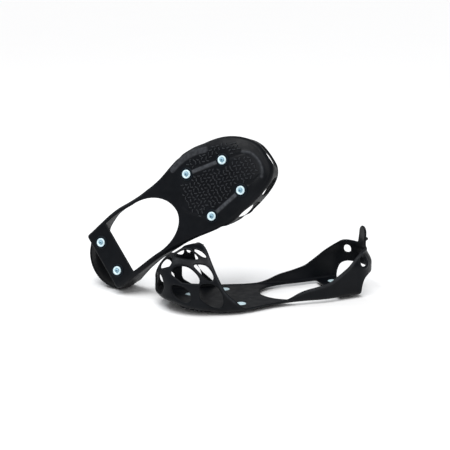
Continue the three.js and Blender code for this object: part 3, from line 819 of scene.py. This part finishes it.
# profiles are (radius, height) in a stud's own frame
SEAT_PROFILE = fillet([(3.3, -2.1), (7.4, -2.1), (8.2, -2.6), (9.9, -3.35), (9.3, -4.55),
                       (7.7, -4.75), (6.9, -4.2), (3.3, -4.2)], 0.45)
DISC_PROFILE = fillet([(3.1, -5.3), (4.3, -6.05), (4.75, -6.2), (5.5, -6.25), (6.2, -5.7),
                       (6.25, -4.5), (3.1, -4.3)], 0.28)
BASE_PROFILE = fillet([(0.02, -5.2), (2.6, -5.2), (3.0, -4.9), (3.0, -1.7), (6.7, -1.7),
                       (7.0, -1.3), (6.7, -0.5), (2.2, -0.45), (1.6, -0.9), (0.02, -0.9)], 0.25)
TIP_PROFILE = fillet([(0.02, -7.6), (1.15, -7.6), (1.5, -7.2), (2.2, -6.6), (2.95, -6.0),
                      (2.95, -5.15), (0.02, -5.15)], 0.16)
FACETS = 6
FACET_TOP = -6.3
FACET_END = -7.0
FACET_DEPTH = 0.13
FACET_CORE = 0.5               # nothing nearer the axis than this is ground


def tip_facets(r, z, angle):
    """Ground flats round the carbide, deepest near its end."""
    if r < FACET_CORE or z > FACET_TOP:
        return r
    turn = 2 * math.pi / FACETS
    local = (angle % turn) - turn / 2
    bite = FACET_DEPTH * smooth(FACET_TOP, FACET_END, z)
    return r * (1 - bite * (1 - (abs(local) / (turn / 2)) ** 2))


def make_studs(foot):
    for row in STUDS:
        for side, word in ((1, "outer"), (-1, "inner")):
            x, y = stud_place(row, side)
            place = PLACES[foot] @ Matrix.Translation((x, y, 0))
            body = foot + ("_heel" if row == "heel" else "_forefoot")
            tag = f"{row}_{word}"
            for kind, profile, segments, facets, material, slot in (
                ("seat_ring", SEAT_PROFILE, 56, None, SEAT, "rubber"),
                ("stud_base", BASE_PROFILE, 48, None, STEEL, "stud_steel"),
                ("stud_disc", DISC_PROFILE, 64, None, STEEL, "stud_steel"),
                ("spike_tip", TIP_PROFILE, 48, tip_facets, CARBIDE, "carbide"),
            ):
                points, faces, radii = lathe(profile, segments, facets)
                name = f"{foot}_{kind}_{tag}_fine"
                piece = make_object(name, points, faces, place, material, {"radius": radii})
                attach(piece, body)
                if kind != "seat_ring":
                    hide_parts(f"{foot}_{kind}_{tag}")


# ---- lugs of the tread ------------------------------------------------------------------------
LUG_PITCH = (5.7, 5.1)
LUG_HEIGHT = 1.4
LUG_HALF_WIDTH = 0.9
LUG_S = (2.3, 1.0)             # half length and bend of the two kinds of lug
LUG_C = (2.1, 1.2)
# how much paler lug tops are painted: scuffs and painted highlight on the raised tops
LUG_TOP_SCUFF_AND_HIGHLIGHT = 0.6
LUG_STEPS = 9                  # along a lug
LUG_ARC_STEPS = 7              # and round it
LUG_END_HEIGHT = 0.35          # share of its height that a lug keeps at its ends
LUG_ROOT = 0.6                 # how far a lug reaches into the sole
LUG_TURN = 0.5
LUG_JITTER = 0.5
LUG_TURN_JITTER = 0.35
LUG_ROWS = 23
LUG_COLUMNS = range(-11, 13)
FIRST_LUG_AT = 181
TREAD_SEED = 7
STUD_ROOM = 12.6
RIB_ROOM = 5.4
LINE_ROOMS = ((GROOVES[1], 4), (GROOVES[-1], 4), (TOE_ARC, 4.4), (EDGE_BAND, 6))
PANEL_MIDDLE = -2
PANEL_AT = (150, 206.5, 262, 300)
PANEL_OUTER = (33, 33.6, 20.6, 10)
PANEL_INNER = (-37, -37, -30, -26)
PANEL_FRONT = 297
PANEL_BACK = 184               # the panel's back edge is a shallow curve
PANEL_BACK_CURVE = 0.012
STRIP_SPAN = (198, 292)
STRIP_ROOM = (4, 6)            # between the panel and the strip, and between it and the edge
TOE_PLAN = (52, 62)            # half width and length of the strip's edge round the toe


def lug_path(kind):
    """Middle line of a small lug, about 5 mm long: 0 is an S and 1 is a C."""
    t = np.linspace(-1, 1, LUG_STEPS)
    if kind == 0:
        return np.stack([LUG_S[0] * t, LUG_S[1] * np.sin(math.pi * t)], 1)
    return np.stack([LUG_C[0] * t, LUG_C[1] * (1 - t * t) - LUG_C[1] / 2], 1)


def lug_mesh(centre, angle, kind):
    """A closed lug: a rounded ridge along its path, with its root in the sole."""
    line = lug_path(kind)
    c, s = math.cos(angle), math.sin(angle)
    line = line @ np.array([[c, s], [-s, c]]) + centre
    along = np.gradient(line, axis=0)
    along /= np.linalg.norm(along, axis=1, keepdims=True)
    across = np.stack([-along[:, 1], along[:, 0]], 1)
    t = np.linspace(-1, 1, len(line))
    width = LUG_HALF_WIDTH * (1 - np.abs(t) ** 6) ** 0.5
    turn = np.linspace(0, math.pi, LUG_ARC_STEPS)
    side = np.sign(np.cos(turn)) * np.abs(np.cos(turn)) ** 0.7
    lift = np.abs(np.sin(turn)) ** 0.6
    points, scuff_and_highlight = [], []
    for i in range(len(line)):
        taper = LUG_END_HEIGHT + (1 - LUG_END_HEIGHT) * width[i] / LUG_HALF_WIDTH
        for j in range(len(turn)):
            p = line[i] + across[i] * side[j] * width[i]
            points.append((p[0], p[1], -LUG_HEIGHT * lift[j] * taper))
            # the top of the lug is painted paler: scuffs and painted highlight
            scuff_and_highlight.append(LUG_TOP_SCUFF_AND_HIGHLIGHT * lift[j] ** 3)
        points.append((line[i][0], line[i][1], LUG_ROOT))
        scuff_and_highlight.append(0)
    rows = len(turn) + 1
    faces = []
    for i in range(len(line) - 1):
        for j in range(rows):
            k = (j + 1) % rows
            faces.append((i * rows + j, i * rows + k, (i + 1) * rows + k, (i + 1) * rows + j))
    faces.append(tuple(range(rows))[::-1])
    faces.append(tuple((len(line) - 1) * rows + j for j in range(rows)))
    return points, faces, scuff_and_highlight


def sole_lift(x, y):
    """Height of the sole over its flat part: the toe's spring and the curl of its edge."""
    axis = min(x, TOE_AXIS)
    side = 1 if y > 0 else -1
    steps = 60
    stations = side_stations(side, steps, 2, 2)[: steps + 1]
    out, across = stations[:, 0] - TOE_AXIS, stations[:, 1]
    angles = np.arctan2(side * across, out)
    reach = np.interp(math.atan2(side * y, x - axis), angles, np.hypot(out, across))
    full = (reach if x > TOE_AXIS else float(half_width(x, side))) + MID_WALL
    level = math.hypot(x - axis, y) / (full - CORNER)
    curl = max(0.0, (level - FLAT_LEVEL) / (1 - FLAT_LEVEL)) ** EDGE_CURL
    return float(toe_spring(x) + edge_lift(x) * curl)


def lug_allowed(x, y):
    """Lugs fill the panel between the stud rows and the strip outside the outer rib."""
    u, v = np.array([x]), np.array([y])
    for side in (1, -1):
        for row in ("front", "middle"):
            cx, cy = stud_place(row, side)
            if math.hypot(x - cx, y - cy) < STUD_ROOM:
                return False
        if from_line(rib_line(side), u, v)[0] < RIB_ROOM:
            return False
    for line, room in LINE_ROOMS:
        if from_line(line, u, v)[0] < room:
            return False
    back = PANEL_BACK + PANEL_BACK_CURVE * (y - PANEL_MIDDLE) ** 2
    if x < back or x > PANEL_FRONT:
        return False
    outer_row = np.interp(x, PANEL_AT, PANEL_OUTER)
    inner_row = np.interp(x, PANEL_AT, PANEL_INNER)
    if x < TOE_AXIS:
        edge = half_width(x, 1)
    else:
        width, length = TOE_PLAN
        edge = width * math.sqrt(max(0.0, 1 - ((x - TOE_AXIS) / length) ** 2))
    in_panel = inner_row < y < outer_row
    in_strip = outer_row + STRIP_ROOM[0] < y < edge - STRIP_ROOM[1]
    return bool(in_panel or (in_strip and STRIP_SPAN[0] < x < STRIP_SPAN[1]))


def make_tread(foot):
    rng = random.Random(TREAD_SEED)
    points, faces, scuff_and_highlight = [], [], []
    for i in range(LUG_ROWS):
        for j in LUG_COLUMNS:
            x = FIRST_LUG_AT + i * LUG_PITCH[0]
            y = j * LUG_PITCH[1] + (LUG_PITCH[1] / 2 if i % 2 else 0) + PANEL_MIDDLE
            x += rng.uniform(-LUG_JITTER, LUG_JITTER)
            y += rng.uniform(-LUG_JITTER, LUG_JITTER)
            across = math.pi / 2 if (i + j) % 2 else 0
            angle = across + rng.uniform(-LUG_TURN_JITTER, LUG_TURN_JITTER) + LUG_TURN
            kind = rng.randrange(2)
            if not lug_allowed(x, y):
                continue
            p, f, w = lug_mesh((x, y), angle, kind)
            start = len(points)
            lift = sole_lift(x, y)
            points += [(px, py, pz - MID_SOLE - SOLE_HALF + lift) for px, py, pz in p]
            faces += [tuple(start + k for k in face) for face in f]
            scuff_and_highlight += w
    name = f"{foot}_tread_lugs"
    tread = make_object(name, points, faces, PLACES[foot], RUBBER, {"scuff_and_highlight": scuff_and_highlight})
    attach(tread, f"{foot}_forefoot")


# ---- overshoes and pull tabs ------------------------------------------------------------------
def make_overshoe(foot, points, faces, scuff_and_highlight):
    piece = make_object(f"{foot}_overshoe", points, faces, PLACES[foot], RUBBER, {"scuff_and_highlight": scuff_and_highlight})
    nodes = ("toe_net", "forefoot_sole", "arm_outer", "arm_inner", "heel_cup")
    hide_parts(*(f"{foot}_{n}" for n in nodes))
    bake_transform(piece)


TAB_X = 5.5
TAB_HALF = 11
TAB_TOP = 87
TAB_ROOT = 56
TAB_GRID = (67, 59)
TAB_WELD = 0.08
TAB_ROWS = (0.25, 0.9)
TAB_ROUND = 1.8                # how far from its edge the tab reaches its thickness
TAB_OUTER = 1.5                # thickness to each side of its middle
TAB_INNER = 1.4
TAB_FLARE = 7                  # how much wider each side is at the root
TAB_FLARE_HEIGHTS = (56, 64)
TAB_WAIST = 1                  # and how much narrower it is above it
TAB_WAIST_HEIGHTS = (60, 80)
TAB_SHEET = (20, 3, 2)         # the grid's half width, and its room below and above the tab
TAB_RIM, TAB_RIM_AT, TAB_RIM_WIDTH = 0.5, 1.6, 1.0
TAB_STRAIGHT = 0.8             # share of the cup's roundness that the tab loses on its way up
TAB_STRAIGHT_HEIGHTS = (60, 78)
GRIP_HEIGHT = 69
GRIP_DEPTH = 3.4
GRIP_FLANK = (3.0, 1.2)
GRIP_ENDS = (0.0, 2.5)
GRIP_WEAR, TAB_RIM_WEAR = 0.3, 0.2


def tab_outline(y, z):
    """Distance in from the tab's edge: a strap with a round end and a flared root."""
    narrow = TAB_WAIST * smooth(*TAB_WAIST_HEIGHTS, z)
    flare = TAB_FLARE * (1 - smooth(*TAB_FLARE_HEIGHTS, z)) ** 2
    sides = TAB_HALF - narrow + flare - np.abs(y)
    end_radius = TAB_HALF - TAB_WAIST
    end_height = TAB_TOP - TAB_HALF + TAB_WAIST
    end = end_radius - np.hypot(y, z - end_height)
    return np.minimum(np.where(z > end_height, np.minimum(sides, end), sides), z - TAB_ROOT)


def tab_mesh():
    """The pull tab: a round-ended strap with a grip bar across it, growing out of the cup's rim."""
    half, below, above = TAB_SHEET
    across = np.linspace(-half, half, TAB_GRID[0])
    up = np.linspace(TAB_ROOT - below, TAB_TOP + above, TAB_GRID[1])
    y, z = np.meshgrid(across, up, indexing="ij")
    index = np.arange(y.size).reshape(y.shape)
    faces = two_each(index[:-1, :-1], index[1:, :-1], index[1:, 1:], index[:-1, 1:])[:, ::-1]
    points = np.stack([np.full(y.size, float(TAB_X)), y.ravel(), z.ravel()], 1)
    no_data = np.zeros((len(points), 0))
    field = tab_outline(y, z).ravel()
    sheet = compact(*split_at(points, no_data, faces, field, 0.0, False), TAB_WELD)[:3]
    points, _, faces, distance = edge_rows(*sheet, TAB_ROWS, TAB_WELD)
    profile = round_edge(distance, TAB_ROUND)
    bar = smooth(*GRIP_FLANK, np.abs(points[:, 2] - GRIP_HEIGHT)) * smooth(*GRIP_ENDS, distance)
    rim = TAB_RIM * bump(distance, TAB_RIM_AT, TAB_RIM_WIDTH)
    # the root follows the round back of the cup
    heel_curve = points[:, 1] ** 2 / (2 * half_width(HEEL_AXIS, 1))
    sag = heel_curve * (1 - TAB_STRAIGHT * smooth(*TAB_STRAIGHT_HEIGHTS, points[:, 2]))
    outer, inner = points.copy(), points.copy()
    outer[:, 0] += sag - (TAB_OUTER + rim + GRIP_DEPTH * bar) * profile
    inner[:, 0] += sag + TAB_INNER * profile
    scuff_and_highlight = np.concatenate([GRIP_WEAR * bar + TAB_RIM_WEAR * rim, np.zeros(len(points))])
    return close_sheet(outer, inner, faces, scuff_and_highlight)


def make_tab(foot, points, faces, scuff_and_highlight):
    piece = make_object(f"{foot}_pull_tab", points, faces, PLACES[foot], RUBBER, {"scuff_and_highlight": scuff_and_highlight})
    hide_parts(f"{foot}_heel_tab")
    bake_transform(piece)


# ---- floor, light and camera ------------------------------------------------------------------
CAMERA_AZIMUTH = math.radians(-21)
CAMERA_ELEVATION = math.radians(15)
CAMERA_DISTANCE = 1.6
CAMERA_LENS = 89.8
SENSOR_WIDTH = 36
VIEW_POINT = (155, 0, 80)      # in the left cleat's frame: the camera's place is measured from it
AIM_POINT = (210, -26.5, 98.4)  # and the middle of the picture
FLOOR_HALF = 40.0
FLOOR_DARK, FLOOR_PALE = (0.93, 0.93, 0.935, 1), (0.94, 0.94, 0.942, 1)
WORLD_STRENGTH = 0.36
SUN_STRENGTH = 2.42
SUN_ANGLE = math.radians(42)
SUN_TURN = (math.radians(18), math.radians(-14), 0)


def make_floor():
    mesh = bpy.data.meshes.new("floor")
    corners = [(FLOOR_HALF * x, FLOOR_HALF * y, 0) for x, y in ((-1, -1), (1, -1), (1, 1), (-1, 1))]
    mesh.from_pydata(corners, [], [(0, 1, 2, 3)])
    floor = bpy.data.objects.new("floor", mesh)
    bpy.context.scene.collection.objects.link(floor)
    n = Nodes("pale_floor")
    colour = n.mix(n.noise(3.0), FLOOR_DARK, FLOOR_PALE)
    mesh.materials.append(n.finish(Base_Color=colour, Roughness=0.85, Specular_IOR_Level=0.1))


def add_area(name, place, aim, size, power, colour):
    light = bpy.data.lights.new(name, "AREA")
    light.shape = "RECTANGLE"
    light.size, light.size_y = size
    light.energy = power
    light.color = colour
    lamp = bpy.data.objects.new(name, light)
    lamp.location = place
    lamp.rotation_mode = "QUATERNION"
    lamp.rotation_quaternion = (Vector(aim) - Vector(place)).to_track_quat("-Z", "Y")
    bpy.context.scene.collection.objects.link(lamp)


def make_lights():
    world = bpy.data.worlds.new("studio")
    world.use_nodes = True
    background = world.node_tree.nodes["Background"]
    background.inputs["Color"].default_value = (1, 1, 1, 1)
    background.inputs["Strength"].default_value = WORLD_STRENGTH
    bpy.context.scene.world = world
    sun = bpy.data.lights.new("overhead", "SUN")
    sun.energy = SUN_STRENGTH
    sun.angle = SUN_ANGLE
    lamp = bpy.data.objects.new("overhead", sun)
    lamp.rotation_euler = SUN_TURN
    bpy.context.scene.collection.objects.link(lamp)
    add_area("key", place=(-1.0, 0.9, 1.5), aim=(0, 0, 0.1), size=(0.9, 0.5), power=10,
             colour=(0.9, 0.95, 1.0))
    add_area("fill", place=(-0.6, -1.9, 1.3), aim=(0, 0, 0.08), size=(0.9, 0.6), power=7,
             colour=(1, 1, 1))


def make_camera():
    level = math.cos(CAMERA_ELEVATION)
    back = Vector((math.sin(CAMERA_AZIMUTH) * level, -math.cos(CAMERA_AZIMUTH) * level,
                   math.sin(CAMERA_ELEVATION)))
    data = bpy.data.cameras.new("camera")
    data.lens = CAMERA_LENS
    data.sensor_width = SENSOR_WIDTH
    camera = bpy.data.objects.new("camera", data)
    camera.location = world_point("left", *VIEW_POINT) + back * CAMERA_DISTANCE
    camera.rotation_mode = "QUATERNION"
    aim = world_point("left", *AIM_POINT) - camera.location
    camera.rotation_quaternion = aim.to_track_quat("-Z", "Y")
    bpy.context.scene.collection.objects.link(camera)
    bpy.context.scene.camera = camera


# ---- the whole scene --------------------------------------------------------------------------
shoe = overshoe_mesh()
tab = tab_mesh()
for foot in FEET:
    make_overshoe(foot, *shoe)
    make_tab(foot, *tab)
    make_studs(foot)
    make_tread(foot)
make_floor()
make_lights()
make_camera()
bpy.context.scene.view_settings.view_transform = "Standard"
